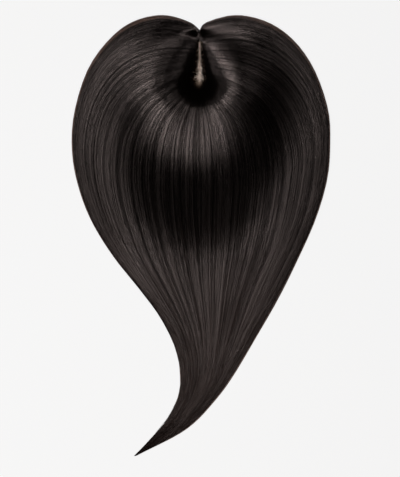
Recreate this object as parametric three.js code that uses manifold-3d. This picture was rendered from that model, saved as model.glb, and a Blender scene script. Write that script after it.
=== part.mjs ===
// A hair topper lying as it is laid out for show, seen from above as a heart that runs out into one curved tail.
// A thin domed cloth base carries the hair and is sewn to four snap clips. The hair is rooted along a short
// parting that starts at the front edge. It arches away from both sides of the parting and from the crown behind
// it, falls off the base and is drawn together at the tip.
// Millimetres, +Z up, the front of the topper towards +Y, the piece resting on z = 0.

import * as THREE from "three";
import { mergeVertices } from "three/addons/utils/BufferGeometryUtils.js";
import Module from "manifold-3d";

const wasm = await Module();
wasm.setup();

// The hair as it is laid out, across its widest place and from the front lobes to the tip of the tail.
const SPREAD_WIDTH = 231;
const LAID_LENGTH = 396;

// The base: a dome of thin cloth with a level rim.
const BASE_WIDTH = 130;
const BASE_LENGTH = 140;
const BASE_RISE = 40;
const BASE_WALL = 1.5;
const RIM_HEIGHT = 3;

// The parting, which runs back from the notch between the front lobes, and leaves the base bare.
const PART_LENGTH = 49;
const PART_WIDTH = 4.6;
const NOTCH_SETBACK = 2.5;
const NOTCH_GAP = 0.6;

// How deep the hair is: over the top of the base, where it lies on the table, at its roots and at its edge.
const CROWN_DEPTH = 14;
const FALL_DEPTH = 12;
const ROOT_DEPTH = 1.5;
const EDGE_DEPTH = 1.2;
const EDGE_WIDTH = 22;
const TIP_WIDTH = 1.8;

// How far beyond the base's rim the hair takes to come down to the table.
const SIDE_RUN = 50;
const FRONT_RUN = 44;
const BACK_RUN = 77;

// The locks that the hair lies in, and the broader bundles that they draw together into towards the tip.
const LOCK_COUNT = 44;
const LOCK_RELIEF = 0.9;
const BUNDLE_COUNT = 7;
const BUNDLE_RELIEF = 1.4;

// The snap clips under the base.
const CLIP_LENGTH = 32;
const CLIP_WIDTH = 11;
const CLIP_TAPER = 3;
const CLIP_THICKNESS = 1.4;
const CLIP_CORNER = 2;
const CLIP_TEETH = 9;
const CLIP_TOOTH_DEPTH = 2.4;

// The clearance between neighbouring pieces.
const GAP = 0.4;

// How finely the faces are cut.
const STEPS_PER_STATION = 2;
const COLUMNS_PER_LOCK = 2;
const DOME_SIDES = 40;
const DOME_RINGS = 8;

// The stations that the hair passes from root to tip. Each is an arch from the left outline, back round the
// middle strand, and forward to the right outline.
//   side     how far forward both of its ends are, as a share of LAID_LENGTH from the middle of that length
//   left     its left end, as a share of SPREAD_WIDTH from the middle of that width
//   right    its right end, the same
//   fall     how far back its middle is, as a share of the way from the crown to the tip
//   middle   its middle, as a share of SPREAD_WIDTH
//   bow      how wide the arch is spread, as a share of SPREAD_WIDTH
//   lift     how much of its full height over the base the hair has reached
//   depth    how deep the hair lies, as a share of FALL_DEPTH
const STATIONS = [
  { side: 0.463, left: -0.0097, right: -0.0097, fall: 0, middle: -0.0097, bow: 0, lift: 0, depth: 1 },
  { side: 0.483, left: -0.043, right: 0.023, fall: 0.027, middle: -0.008, bow: 0.14, lift: 0.5, depth: 1 },
  { side: 0.499, left: -0.147, right: 0.136, fall: 0.065, middle: -0.008, bow: 0.256, lift: 0.85, depth: 1 },
  { side: 0.483, left: -0.264, right: 0.256, fall: 0.108, middle: -0.008, bow: 0.388, lift: 1, depth: 1 },
  { side: 0.442, left: -0.357, right: 0.357, fall: 0.162, middle: -0.008, bow: 0.457, lift: 1, depth: 1 },
  { side: 0.375, left: -0.438, right: 0.438, fall: 0.221, middle: -0.006, bow: 0.465, lift: 1, depth: 1 },
  { side: 0.284, left: -0.488, right: 0.492, fall: 0.286, middle: -0.004, bow: 0.434, lift: 1, depth: 1 },
  { side: 0.205, left: -0.5, right: 0.5, fall: 0.345, middle: -0.004, bow: 0.38, lift: 1, depth: 1 },
  { side: 0.126, left: -0.481, right: 0.488, fall: 0.407, middle: 0, bow: 0.326, lift: 1, depth: 1 },
  { side: 0.036, left: -0.426, right: 0.442, fall: 0.48, middle: 0.004, bow: 0.264, lift: 1, depth: 1.02 },
  { side: -0.055, left: -0.329, right: 0.372, fall: 0.555, middle: 0.012, bow: 0.178, lift: 1, depth: 1.08 },
  { side: -0.145, left: -0.202, right: 0.295, fall: 0.636, middle: 0.023, bow: 0.109, lift: 1, depth: 1.15 },
  { side: -0.236, left: -0.105, right: 0.205, fall: 0.722, middle: 0.027, bow: 0.066, lift: 1, depth: 1.22 },
  { side: -0.315, left: -0.0775, right: 0.124, fall: 0.798, middle: 0.012, bow: 0.043, lift: 1, depth: 1.2 },
  { side: -0.371, left: -0.089, right: 0.054, fall: 0.857, middle: -0.025, bow: 0.031, lift: 1, depth: 1.05 },
  { side: -0.439, left: -0.155, right: -0.062, fall: 0.933, middle: -0.112, bow: 0.019, lift: 1, depth: 0.7 },
  { side: -0.498, left: -0.256, right: -0.256, fall: 1, middle: -0.256, bow: 0.002, lift: 1, depth: 0.22 },
];

// Where each clip is sewn, as shares of the way from the middle of the base to its rim.
const CLIPS = [
  { name: "clip_front", across: 0, forward: 0.8 },
  { name: "clip_back", across: 0, forward: -0.8 },
  { name: "clip_left", across: -0.8, forward: 0 },
  { name: "clip_right", across: 0.8, forward: 0 },
];

// Places that the pieces share.
const first = STATIONS[0];
const last = STATIONS[STATIONS.length - 1];
const notchY = first.side * LAID_LENGTH;
const crownY = notchY - PART_LENGTH;
const tipY = last.side * LAID_LENGTH;
const baseX = first.middle * SPREAD_WIDTH;
const baseY = notchY - NOTCH_SETBACK - BASE_LENGTH / 2;
const domeRadius = ((BASE_WIDTH / 2) ** 2 + BASE_RISE ** 2) / (2 * BASE_RISE);
const domeCentreZ = RIM_HEIGHT + BASE_RISE - domeRadius;
const domeStretch = BASE_LENGTH / BASE_WIDTH;

// A closed geometry as a manifold solid, and a solid as a geometry.
function toSolid(geometry) {
  const bare = geometry.clone();
  bare.deleteAttribute("normal");
  bare.deleteAttribute("uv");
  const merged = mergeVertices(bare, 1e-4);
  return new wasm.Manifold(
    new wasm.Mesh({
      numProp: 3,
      vertProperties: new Float32Array(merged.attributes.position.array),
      triVerts: new Uint32Array(merged.index.array),
    }),
  );
}

function toGeometry(solid) {
  const mesh = solid.getMesh();
  const geometry = new THREE.BufferGeometry();
  geometry.setAttribute("position", new THREE.BufferAttribute(mesh.vertProperties, 3));
  geometry.setIndex(new THREE.BufferAttribute(mesh.triVerts, 1));
  geometry.computeVertexNormals();
  return geometry;
}

// The height of the dome that lies at the given offset outside the base's inner face, or 0 beyond its foot.
function domeHeight(x, y, offset) {
  const across = x - baseX;
  const along = (y - baseY) / domeStretch;
  const under = (domeRadius + offset) ** 2 - across ** 2 - along ** 2;
  return under > 0 ? Math.max(0, domeCentreZ + Math.sqrt(under)) : 0;
}

// Points of the dome's arc at an offset, from its top down to the height of the rim.
function domeArc(offset) {
  const radius = domeRadius + offset;
  const sweep = Math.acos((RIM_HEIGHT - domeCentreZ) / radius);
  return Array.from({ length: DOME_RINGS + 1 }, (_, ring) => {
    const angle = (sweep * ring) / DOME_RINGS;
    return new THREE.Vector2(radius * Math.sin(angle), domeCentreZ + radius * Math.cos(angle));
  });
}

// A profile of height against radius turned about the base's upright axis, and stretched to the base's length.
function turned(profile) {
  const geometry = new THREE.LatheGeometry(profile, DOME_SIDES);
  return geometry.rotateX(Math.PI / 2).scale(1, domeStretch, 1).translate(baseX, baseY, 0);
}

function baseGeometry() {
  const inner = domeArc(0);
  const outer = domeArc(BASE_WALL).reverse();
  return toGeometry(toSolid(turned([...inner, ...outer])));
}

// What the hair leaves free for the base and for the head that goes into it, down through the table.
function hollowGeometry() {
  const arc = domeArc(BASE_WALL + GAP);
  const rim = arc[arc.length - 1].x;
  const below = -RIM_HEIGHT;
  return turned([new THREE.Vector2(0, below), new THREE.Vector2(rim, below), ...arc.reverse()]);
}

// One column of the station table at a place from 0, the roots, to 1, the tips, on a smooth curve.
function column(values, along) {
  const place = Math.min(along * (values.length - 1), values.length - 1 - 1e-9);
  const row = Math.floor(place);
  const share = place - row;
  const b = values[row];
  const c = values[row + 1];
  const a = row > 0 ? values[row - 1] : 2 * b - c;
  const d = row + 2 < values.length ? values[row + 2] : 2 * c - b;
  const bend = 2 * a - 5 * b + 4 * c - d;
  const swing = -a + 3 * b - 3 * c + d;
  return 0.5 * (2 * b + (c - a) * share + bend * share ** 2 + swing * share ** 3);
}

// The stations as lengths, one list for each column. The roots are as far apart as the parting is wide there.
const ROOT_BOW_PER_WIDTH = 1.73; // an arch whose ends meet is widest at this share of its bow, turned over
const lists = {
  side: STATIONS.map((s) => s.side * LAID_LENGTH),
  left: STATIONS.map((s) => s.left * SPREAD_WIDTH),
  right: STATIONS.map((s) => s.right * SPREAD_WIDTH),
  back: STATIONS.map((s) => crownY + s.fall * (tipY - crownY)),
  middle: STATIONS.map((s) => s.middle * SPREAD_WIDTH),
  bow: STATIONS.map((s) => s.bow * SPREAD_WIDTH),
  lift: STATIONS.map((s) => s.lift),
  depth: STATIONS.map((s) => s.depth * FALL_DEPTH),
};
lists.bow[0] = PART_WIDTH * ROOT_BOW_PER_WIDTH;
lists.left[0] -= NOTCH_GAP / 2;
lists.right[0] += NOTCH_GAP / 2;
lists.left[STATIONS.length - 1] -= TIP_WIDTH / 2;
lists.right[STATIONS.length - 1] += TIP_WIDTH / 2;

// The arch at a place along the hair, as a function of the share of the way across it.
function archAt(along) {
  const at = Object.fromEntries(Object.entries(lists).map(([name, list]) => [name, column(list, along)]));
  const handleY = at.side - (at.side - at.back) / 0.75;
  const handleX = (8 * at.middle - at.left - at.right) / 6;
  const curve = new THREE.CubicBezierCurve(
    new THREE.Vector2(at.left, at.side),
    new THREE.Vector2(handleX - at.bow, handleY),
    new THREE.Vector2(handleX + at.bow, handleY),
    new THREE.Vector2(at.right, at.side),
  );
  return { curve, lift: at.lift, depth: at.depth };
}

// How much higher than the hair on the table the hair stands over the base: round on top like the base, then
// down a slope that runs out beyond the rim.
const mound = RIM_HEIGHT + BASE_RISE + BASE_WALL + CROWN_DEPTH - FALL_DEPTH;
const MOUND_FLATNESS = 1.6; // 1 would be a plain round top, and more widens its level middle
const MOUND_POWER = 3.5; // 0.5 would drop straight to the table, and more draws its foot out into a slope
function moundHeight(x, y) {
  const run = y > baseY ? FRONT_RUN : BACK_RUN;
  const across = (x - baseX) / (BASE_WIDTH / 2 + SIDE_RUN);
  const along = (y - baseY) / (BASE_LENGTH / 2 + run);
  const outward = across ** 2 + along ** 2;
  return mound * Math.max(0, 1 - outward ** MOUND_FLATNESS) ** MOUND_POWER;
}

// The hair swells up from its outline over EDGE_WIDTH, or over half its width where it is narrower.
function edgeShare(inset, width) {
  const share = Math.min(1, inset / Math.min(EDGE_WIDTH, width / 2));
  return Math.sin((Math.PI / 2) * share);
}

// How deep the grooves are at a column. Those between locks set in near the roots, stay less steep than
// LOCK_STEEPNESS and differ from lock to lock. Those between bundles set in over the lower half of the hair.
const LOCK_STEEPNESS = 0.25;
const LOCK_VARIETY = 0.35; // how much of its depth a groove may lack
const LOCK_TURN = 2.4; // radians from groove to groove, so that like depths don't stand side by side
const LOCKS_FULL = 0.17; // how far along the hair the locks are fully formed
const BUNDLES_START = 0.5;
const BUNDLES_FULL = 0.85;
function grooveDepth(index, columnCount, along, width) {
  const inGroove = index % COLUMNS_PER_LOCK === 0;
  const relief = Math.min(LOCK_RELIEF, (LOCK_STEEPNESS * width) / LOCK_COUNT);
  const lack = 0.5 - 0.5 * Math.cos((LOCK_TURN * index) / COLUMNS_PER_LOCK);
  const lockDepth = inGroove ? relief * (1 - LOCK_VARIETY * lack) * Math.min(1, along / LOCKS_FULL) : 0;
  const formed = THREE.MathUtils.smoothstep(along, BUNDLES_START, BUNDLES_FULL);
  const turn = (2 * Math.PI * BUNDLE_COUNT * index) / columnCount;
  return lockDepth + BUNDLE_RELIEF * formed * (0.5 - 0.5 * Math.cos(turn));
}

// The upper face of the hair as rows of points from the left outline to the right.
function hairRows() {
  const rowCount = (STATIONS.length - 1) * STEPS_PER_STATION;
  const columnCount = LOCK_COUNT * COLUMNS_PER_LOCK;
  const rows = [];
  for (let row = 0; row <= rowCount; row++) {
    const along = row / rowCount;
    const { curve, lift, depth } = archAt(along);
    const points = Array.from({ length: columnCount + 1 }, (_, i) => curve.getPoint(i / columnCount));
    const lengths = [0];
    points.slice(1).forEach((point, i) => lengths.push(lengths[i] + point.distanceTo(points[i])));
    const width = lengths[columnCount];
    rows.push(
      points.map((point, i) => {
        const onBase = domeHeight(point.x, point.y, BASE_WALL + GAP) + ROOT_DEPTH;
        const full = Math.max(onBase, depth + moundHeight(point.x, point.y));
        const edge = edgeShare(Math.min(lengths[i], width - lengths[i]), width);
        const rounded = EDGE_DEPTH + (full - EDGE_DEPTH) * edge;
        const groove = grooveDepth(i, columnCount, along, width) * edge;
        const height = onBase + (rounded - onBase) * lift - groove;
        return new THREE.Vector3(point.x, point.y, Math.max(EDGE_DEPTH, height));
      }),
    );
  }
  return rows;
}

// A closed body between the rows and the table: the rows' face, a wall round its border, and a level underside.
function loftGeometry(rows) {
  const columns = rows[0].length;
  const corner = (row, c) => row * columns + c;
  const lastRow = rows.length - 1;
  const triangles = [];
  const quad = (a, b, c, d) => triangles.push(a, b, c, a, c, d);
  for (let r = 0; r < lastRow; r++) {
    for (let c = 0; c < columns - 1; c++) {
      quad(corner(r, c), corner(r + 1, c), corner(r + 1, c + 1), corner(r, c + 1));
    }
  }
  const down = rows.slice(0, -1).map((_, r) => corner(r, 0));
  const across = rows[0].slice(0, -1).map((_, c) => corner(lastRow, c));
  const up = rows.slice(0, -1).map((_, r) => corner(lastRow - r, columns - 1));
  const home = rows[0].slice(0, -1).map((_, c) => corner(0, columns - 1 - c));
  const border = [...down, ...across, ...up, ...home];
  const upper = rows.flat();
  const foot = border.map((index) => new THREE.Vector3(upper[index].x, upper[index].y, 0));
  border.forEach((index, i) => {
    const next = (i + 1) % border.length;
    quad(index, upper.length + i, upper.length + next, border[next]);
  });
  const outline = foot.map((p) => new THREE.Vector2(p.x, p.y));
  for (const [a, b, c] of THREE.ShapeUtils.triangulateShape(outline, [])) {
    triangles.push(upper.length + a, upper.length + c, upper.length + b);
  }
  const geometry = new THREE.BufferGeometry();
  const positions = [...upper, ...foot].flatMap((p) => [p.x, p.y, p.z]);
  geometry.setAttribute("position", new THREE.Float32BufferAttribute(positions, 3));
  geometry.setIndex(triangles);
  return geometry;
}

function hairGeometry() {
  return toGeometry(toSolid(loftGeometry(hairRows())).subtract(toSolid(hollowGeometry())));
}

// A snap clip, closed: a tapered plate with rounded corners and a comb of teeth along its longer edge.
const CLIP_TOOTH_FLANK = 0.3; // how wide a tooth's sloping side is, as a share of the teeth's pitch
function clipGeometry() {
  const half = CLIP_LENGTH / 2;
  const narrow = half - CLIP_TAPER;
  const back = CLIP_WIDTH / 2;
  const root = -CLIP_WIDTH / 2 + CLIP_TOOTH_DEPTH;
  const shape = new THREE.Shape();
  shape.moveTo(-half, root);
  shape.lineTo(-narrow, back - CLIP_CORNER);
  shape.quadraticCurveTo(-narrow, back, -narrow + CLIP_CORNER, back);
  shape.lineTo(narrow - CLIP_CORNER, back);
  shape.quadraticCurveTo(narrow, back, narrow, back - CLIP_CORNER);
  shape.lineTo(half, root);
  const pitch = CLIP_LENGTH / CLIP_TEETH;
  const flank = pitch * CLIP_TOOTH_FLANK;
  for (let tooth = 0; tooth < CLIP_TEETH; tooth++) {
    const start = half - tooth * pitch;
    shape.lineTo(start - flank, root - CLIP_TOOTH_DEPTH);
    shape.lineTo(start - pitch + flank, root - CLIP_TOOTH_DEPTH);
    shape.lineTo(start - pitch, root);
  }
  return new THREE.ExtrudeGeometry(shape, { depth: CLIP_THICKNESS, bevelEnabled: false, curveSegments: 3 });
}

// Puts a clip flat against the inside of the base, its length level and its teeth towards the rim.
// A flat clip meets the curved cloth at its corners, so its middle hangs clear by the curve's height there.
function placeClip(mesh, across, forward) {
  const x = (across * BASE_WIDTH) / 2;
  const y = (forward * BASE_LENGTH) / 2;
  const z = domeHeight(baseX + x, baseY + y, 0);
  const outward = new THREE.Vector3(x, y / domeStretch ** 2, z - domeCentreZ).normalize();
  const level = new THREE.Vector3(-y, x, 0).normalize();
  const upslope = new THREE.Vector3().crossVectors(outward, level);
  const hang = domeRadius - Math.sqrt(domeRadius ** 2 - (CLIP_LENGTH ** 2 + CLIP_WIDTH ** 2) / 4);
  mesh.quaternion.setFromRotationMatrix(new THREE.Matrix4().makeBasis(level, upslope, outward));
  mesh.position.set(baseX + x, baseY + y, z).addScaledVector(outward, -hang - GAP - CLIP_THICKNESS);
}

const baseCloth = new THREE.MeshStandardMaterial({ color: 0xd9bfae, roughness: 0.8, metalness: 0 });
const darkHair = new THREE.MeshStandardMaterial({ color: 0x1d1716, roughness: 0.42, metalness: 0 });
const clipMetal = new THREE.MeshStandardMaterial({ color: 0x241f1d, roughness: 0.45, metalness: 0.7 });

function named(name, geometry, material) {
  const mesh = new THREE.Mesh(geometry, material);
  mesh.name = name;
  return mesh;
}

const topper = new THREE.Group();
topper.add(named("base", baseGeometry(), baseCloth));
topper.add(named("hair", hairGeometry(), darkHair));
for (const { name, across, forward } of CLIPS) {
  const clip = named(name, clipGeometry(), clipMetal);
  placeClip(clip, across, forward);
  topper.add(clip);
}

// The origin is in the middle of what the hair covers, on the surface that it lies on.
const middle = new THREE.Box3().setFromObject(topper, true).getCenter(new THREE.Vector3());
topper.position.set(-middle.x, -middle.y, 0);

export default topper;
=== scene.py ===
# A hair topper laid out for show and seen from straight above: its cloth base, its clips, its hair, the studio.
# Metres, +Z up, the front of the topper towards +Y, lying on z = 0.

import math

import bpy
import numpy as np
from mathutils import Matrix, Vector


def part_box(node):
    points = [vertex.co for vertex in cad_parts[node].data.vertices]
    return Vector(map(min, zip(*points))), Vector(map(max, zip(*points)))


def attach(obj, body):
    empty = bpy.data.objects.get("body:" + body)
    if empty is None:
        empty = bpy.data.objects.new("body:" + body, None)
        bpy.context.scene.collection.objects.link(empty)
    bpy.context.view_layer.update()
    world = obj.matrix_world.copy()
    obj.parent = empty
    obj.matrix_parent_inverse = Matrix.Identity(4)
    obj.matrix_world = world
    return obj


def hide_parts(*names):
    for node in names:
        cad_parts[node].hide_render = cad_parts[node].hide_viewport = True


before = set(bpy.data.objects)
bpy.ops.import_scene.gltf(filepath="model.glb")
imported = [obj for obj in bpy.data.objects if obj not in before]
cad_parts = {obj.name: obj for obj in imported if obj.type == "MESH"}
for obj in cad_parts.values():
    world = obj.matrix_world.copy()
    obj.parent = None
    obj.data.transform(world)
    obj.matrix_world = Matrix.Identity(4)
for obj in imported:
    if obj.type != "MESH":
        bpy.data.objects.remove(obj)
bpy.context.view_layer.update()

# The base is a shallow cap of fine silk-like cloth, skin coloured so that it passes for scalp in the parting. It
# is blocked over a form to a dome. Its edge is turned in under a narrow binding, stitched down with thread.
MM = 0.001
CLOTH_THICKNESS = 1.2 * MM
CAP_TURNS = 120
CAP_RINGS = 30
CAP_TOP = 0.01
BINDING_WIDTH = 7 * MM
BINDING_SWELL = 0.35 * MM
CLOTH_COLOUR = (0.96, 0.82, 0.72, 1)
CLOTH_SHADE = (0.92, 0.74, 0.62, 1)
WEAVE_PERIOD = 0.5 * MM
WEAVE_DEPTH = 0.1 * MM
WEAVE_STRENGTH = 0.5
WEAVE_SHARE = 0.35
WAVE_TURN = 20  # the radians that Blender's wave texture turns through in a metre at scale 1
CLOUD_SCALE = 160
CLOTH_ROUGHNESS = 0.7
THREAD_COLOUR = (0.50, 0.33, 0.26, 1)
THREAD_RADIUS = 0.16 * MM
THREAD_SHADE = 0.6
THREAD_CLOUD_SCALE = 900
THREAD_STRENGTH = 0.6
THREAD_ROUGHNESS = 0.65
SEAM_STITCHES = 130
SEAM_PLACE = 0.8
STITCH_SHARE = 0.65
STITCH_STEPS, STITCH_SIDES = 6, 5
STITCH_BOW = 0.8

base_low, base_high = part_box("base")
base_middle = (base_low + base_high) / 2
dome_rise = base_high.z - base_low.z
dome_foot = (base_high.x - base_low.x) / 2
dome_radius = (dome_foot**2 + dome_rise**2) / (2 * dome_rise)
dome_centre_z = base_high.z - dome_radius
dome_stretch = (base_high.y - base_low.y) / (base_high.x - base_low.x)
rim_sweep = math.acos((base_low.z - dome_centre_z) / dome_radius)


def dome_points(sweep, turn, inset):
    """Points of the dome that lies inset inside the base's outer face, by the angle from its top and round it."""
    radius = dome_radius - inset
    x = base_middle.x + radius * np.sin(sweep) * np.cos(turn)
    y = base_middle.y + radius * np.sin(sweep) * np.sin(turn) * dome_stretch
    z = dome_centre_z + radius * np.cos(sweep)
    return np.stack(np.broadcast_arrays(x, y, z), -1)


def dome_height(x, y):
    """How high the base's outer face stands over a place on the table, or 0 beyond its foot."""
    across = x - base_middle.x
    along = (y - base_middle.y) / dome_stretch
    under = dome_radius**2 - across**2 - along**2
    return np.maximum(0, dome_centre_z + np.sqrt(np.maximum(under, 0)))


def grid_faces(rows, columns, closed=False):
    """The quads of a grid of points, row by row, joined round into a ring if it is closed."""
    row = np.arange(rows - 1)[:, None] * columns
    here = np.arange(columns if closed else columns - 1)[None, :]
    there = (here + 1) % columns
    corners = (row + here, row + there, row + columns + there, row + columns + here)
    return np.stack(corners, -1).reshape(-1, 4)


def capped_grid(rows, columns):
    """The faces of a grid that is joined round, with a face over each of its two open ends."""
    last = (rows - 1) * columns
    ends = [list(range(columns))[::-1], [last + i for i in range(columns)]]
    return grid_faces(rows, columns, closed=True).tolist() + ends


def tubes(paths, radii, sides, first_number=0, tubes_in_all=1):
    """Closed tubes along paths (tube, step, 3) as points, faces and the faces' corners on the map, where each tube
    has a column by its number and runs from the bottom to the top."""
    along = np.gradient(paths, axis=1)
    along /= np.linalg.norm(along, axis=-1, keepdims=True) + 1e-12
    aside = np.cross(along, (0, 0, 1))
    aside /= np.linalg.norm(aside, axis=-1, keepdims=True) + 1e-12
    out = np.cross(aside, along)
    count, steps = paths.shape[:2]
    turn = 2 * math.pi * np.arange(sides) / sides + math.pi / 2
    ring = np.cos(turn)[:, None] * aside[:, :, None] + np.sin(turn)[:, None] * out[:, :, None]
    points = paths[:, :, None] + radii[:, :, None, None] * ring
    starts = np.arange(count)[:, None, None] * steps * sides
    walls = (grid_faces(steps, sides, closed=True)[None] + starts).reshape(-1, 4)
    number = first_number + np.arange(count)[:, None, None]
    down = np.repeat(np.arange(steps - 1), sides)
    v = np.stack([down, down, down + 1, down + 1], -1)[None] / (steps - 1)
    u = (number + np.array([0.1, 0.9, 0.9, 0.1])) / tubes_in_all
    wall_uv = np.stack(np.broadcast_arrays(u, v), -1).reshape(-1, 2)
    corners = np.arange(sides)
    roots = starts[:, 0] + corners[::-1]
    tips = starts[:, 0] + (steps - 1) * sides + corners
    end_u = np.repeat((number.ravel() + 0.5) / tubes_in_all, sides)
    end_uv = [np.stack([end_u, 0 * end_u + v_end], -1) for v_end in (0, 1)]
    faces = walls.tolist() + roots.tolist() + tips.tolist()
    return points.reshape(-1, 3), faces, np.concatenate([wall_uv, *end_uv])


def join(*parts):
    """Several meshes, each of points and faces, as one."""
    points, faces, start = [], [], 0
    for part_points, part_faces in parts:
        part_points = np.asarray(part_points).reshape(-1, 3)
        points.append(part_points)
        faces += [[corner + start for corner in face] for face in part_faces]
        start += len(part_points)
    return np.concatenate(points), faces


def make_piece(name, points, faces, material, slot, uv=None):
    """A mesh that rides on the topper. uv holds a place for each corner of each face, in the faces' order."""
    mesh = bpy.data.meshes.new(name)
    mesh.from_pydata(np.asarray(points, float).reshape(-1, 3), [], faces)
    if uv is not None:
        mesh.uv_layers.new(name="OFBake").uv.foreach_set("vector", np.asarray(uv, np.float32).ravel())
    mesh.shade_smooth()
    mesh.materials.append(material)
    piece = bpy.data.objects.new(name, mesh)
    bpy.context.scene.collection.objects.link(piece)
    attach(piece, "root")
    return piece


def new_material(name):
    """A material, its node tree and its main shader."""
    material = bpy.data.materials.new(name)
    material.use_nodes = True
    return material, material.node_tree, material.node_tree.nodes["Principled BSDF"]


def add_node(tree, kind, settings=None, **inputs):
    """A node with settings, and with inputs filled by name or by number by a value or another node's socket."""
    made = tree.nodes.new(kind)
    for key, value in (settings or {}).items():
        setattr(made, key, value)
    for key, value in inputs.items():
        socket = made.inputs[int(key[1:])] if key[1:].isdigit() else made.inputs[key]
        if isinstance(value, bpy.types.NodeSocket):
            tree.links.new(value, socket)
        else:
            socket.default_value = value
    return made


def calculate(tree, operation, *values):
    """The outcome of a sum on sockets or numbers."""
    inputs = {f"_{i}": value for i, value in enumerate(values)}
    return add_node(tree, "ShaderNodeMath", {"operation": operation}, **inputs).outputs[0]


def mix_colours(tree, share, first, second):
    """A colour between two, by a share."""
    return add_node(tree, "ShaderNodeMix", {"data_type": "RGBA"}, _0=share, _6=first, _7=second).outputs[2]


def add_noise(tree, place, scale, detail):
    """A cloudy value between 0 and 1 at each place."""
    return add_node(tree, "ShaderNodeTexNoise", Vector=place, Scale=scale, Detail=detail).outputs["Fac"]


def add_bumps(tree, shader, height, strength, distance):
    """Fine bumps on a surface, by a height between 0 and 1 that stands for that distance."""
    bump = add_node(tree, "ShaderNodeBump", Height=height, Strength=strength, Distance=distance)
    tree.links.new(bump.outputs["Normal"], shader.inputs["Normal"])


def cloth_material():
    """Finely woven cloth with a faint cloudiness, as of a dye that took unevenly."""
    material, tree, shader = new_material("base_cloth")
    place = add_node(tree, "ShaderNodeTexCoord").outputs["Object"]
    scale = 2 * math.pi / (WAVE_TURN * WEAVE_PERIOD)
    warp = add_node(tree, "ShaderNodeTexWave", {"bands_direction": "X"}, Vector=place, Scale=scale)
    weft = add_node(tree, "ShaderNodeTexWave", {"bands_direction": "Y"}, Vector=place, Scale=scale)
    weave = calculate(tree, "MULTIPLY", warp.outputs["Fac"], weft.outputs["Fac"])
    share = calculate(tree, "MULTIPLY_ADD", weave, WEAVE_SHARE, add_noise(tree, place, CLOUD_SCALE, 4))
    tree.links.new(mix_colours(tree, share, CLOTH_SHADE, CLOTH_COLOUR), shader.inputs["Base Color"])
    add_bumps(tree, shader, weave, WEAVE_STRENGTH, WEAVE_DEPTH)
    shader.inputs["Roughness"].default_value = CLOTH_ROUGHNESS
    return material


def thread_material(name, colour):
    """Twisted thread, of a colour that varies a little along it."""
    material, tree, shader = new_material(name)
    place = add_node(tree, "ShaderNodeTexCoord").outputs["Object"]
    cloud = add_noise(tree, place, THREAD_CLOUD_SCALE, 2)
    shade = tuple(THREAD_SHADE * part for part in colour[:3]) + (1,)
    tree.links.new(mix_colours(tree, cloud, shade, colour), shader.inputs["Base Color"])
    add_bumps(tree, shader, cloud, THREAD_STRENGTH, THREAD_RADIUS)
    shader.inputs["Roughness"].default_value = THREAD_ROUGHNESS
    return material


def cap_mesh():
    """The cap's shell, inner face first, with the binding's swell on both faces along the edge."""
    sweeps = np.linspace(CAP_TOP, rim_sweep, CAP_RINGS)
    from_edge = (rim_sweep - sweeps) * dome_radius / BINDING_WIDTH
    swell = BINDING_SWELL * np.sin(math.pi * np.clip(from_edge, 0, 1)) ** 0.5
    turns = 2 * math.pi * np.arange(CAP_TURNS) / CAP_TURNS
    inner = dome_points(sweeps[:, None], turns[None], (CLOTH_THICKNESS + swell)[:, None])
    outer = dome_points(sweeps[::-1, None], turns[None], -swell[::-1, None])
    return np.concatenate([inner, outer]), capped_grid(2 * CAP_RINGS, CAP_TURNS)


def seam_paths():
    """Running stitches inside the cap, along the upper edge of the binding, each one bowed out of the cloth."""
    start = 2 * math.pi * np.arange(SEAM_STITCHES) / SEAM_STITCHES
    share = np.linspace(0, 1, STITCH_STEPS)[None, :]
    turn = start[:, None] + share * STITCH_SHARE * 2 * math.pi / SEAM_STITCHES
    sweep = rim_sweep - SEAM_PLACE * BINDING_WIDTH / dome_radius
    lift = CLOTH_THICKNESS + BINDING_SWELL + STITCH_BOW * THREAD_RADIUS * np.sin(math.pi * share)
    return dome_points(sweep + 0 * turn, turn, lift)


base_cloth = cloth_material()
cap = make_piece("base_cap", *cap_mesh(), base_cloth, "base_cloth")
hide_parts("base")
thread = thread_material("thread", THREAD_COLOUR)
stitches = seam_paths()
points, faces, _ = tubes(stitches, np.full(stitches.shape[:2], THREAD_RADIUS), STITCH_SIDES)
make_piece("seam_stitches", points, faces, thread, "base_cloth")

# Four snap clips of spring steel, lacquered dark brown, are sewn inside the cap to hold it in the wearer's hair.
# Each is a stamped ring with a bowed tongue riveted across it, and a comb bent down along its longer edge. Loops
# of thread hold its two ends to the cloth.
CLIPS = {"clip_front": (0, 0.8), "clip_back": (0, -0.8), "clip_left": (-0.8, 0), "clip_right": (0.8, 0)}
BASE_WALL = 1.5 * MM
CLIP_LENGTH = 32 * MM
CLIP_WIDTH = 11 * MM
CLIP_TAPER = 3 * MM
CLIP_DEPTH = 1.4 * MM
CLIP_TEETH = 9
TOOTH_DEPTH = 2.4 * MM
STEEL_THICKNESS = 0.6 * MM
BAR_WIDTH = 2.2 * MM
RING_CORNER, HOLE_CORNER = 2 * MM, 1.2 * MM
CORNER_STEPS = 7
RING_SECTION = ((0, 0.25), (0, 0.75), (0.12, 1), (0.88, 1), (1, 0.75), (1, 0.25), (0.88, 0), (0.12, 0))
TONGUE_WIDTH = 2.6 * MM
TONGUE_WAIST = 0.25
TONGUE_BOW = 0.45 * MM
TONGUE_STEPS, TONGUE_SIDES = 25, 8
RIVET_RADIUS = 1.1 * MM
RIVET_FOOT, RIVET_RISE = 0.5 * MM, 0.4 * MM
RIVET_ROWS, RIVET_SIDES = 5, 14
RIVET_TOP = 0.1
TOOTH_RADIUS = 0.465 * MM
TOOTH_TAPER = 0.55
TOOTH_STEPS, TOOTH_SIDES = 5, 8
TOOTH_ROOT = 0.6 * MM
TOOTH_LENGTH = TOOTH_DEPTH + 0.3 * MM
TOOTH_BEND = 0.35 * MM
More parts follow.
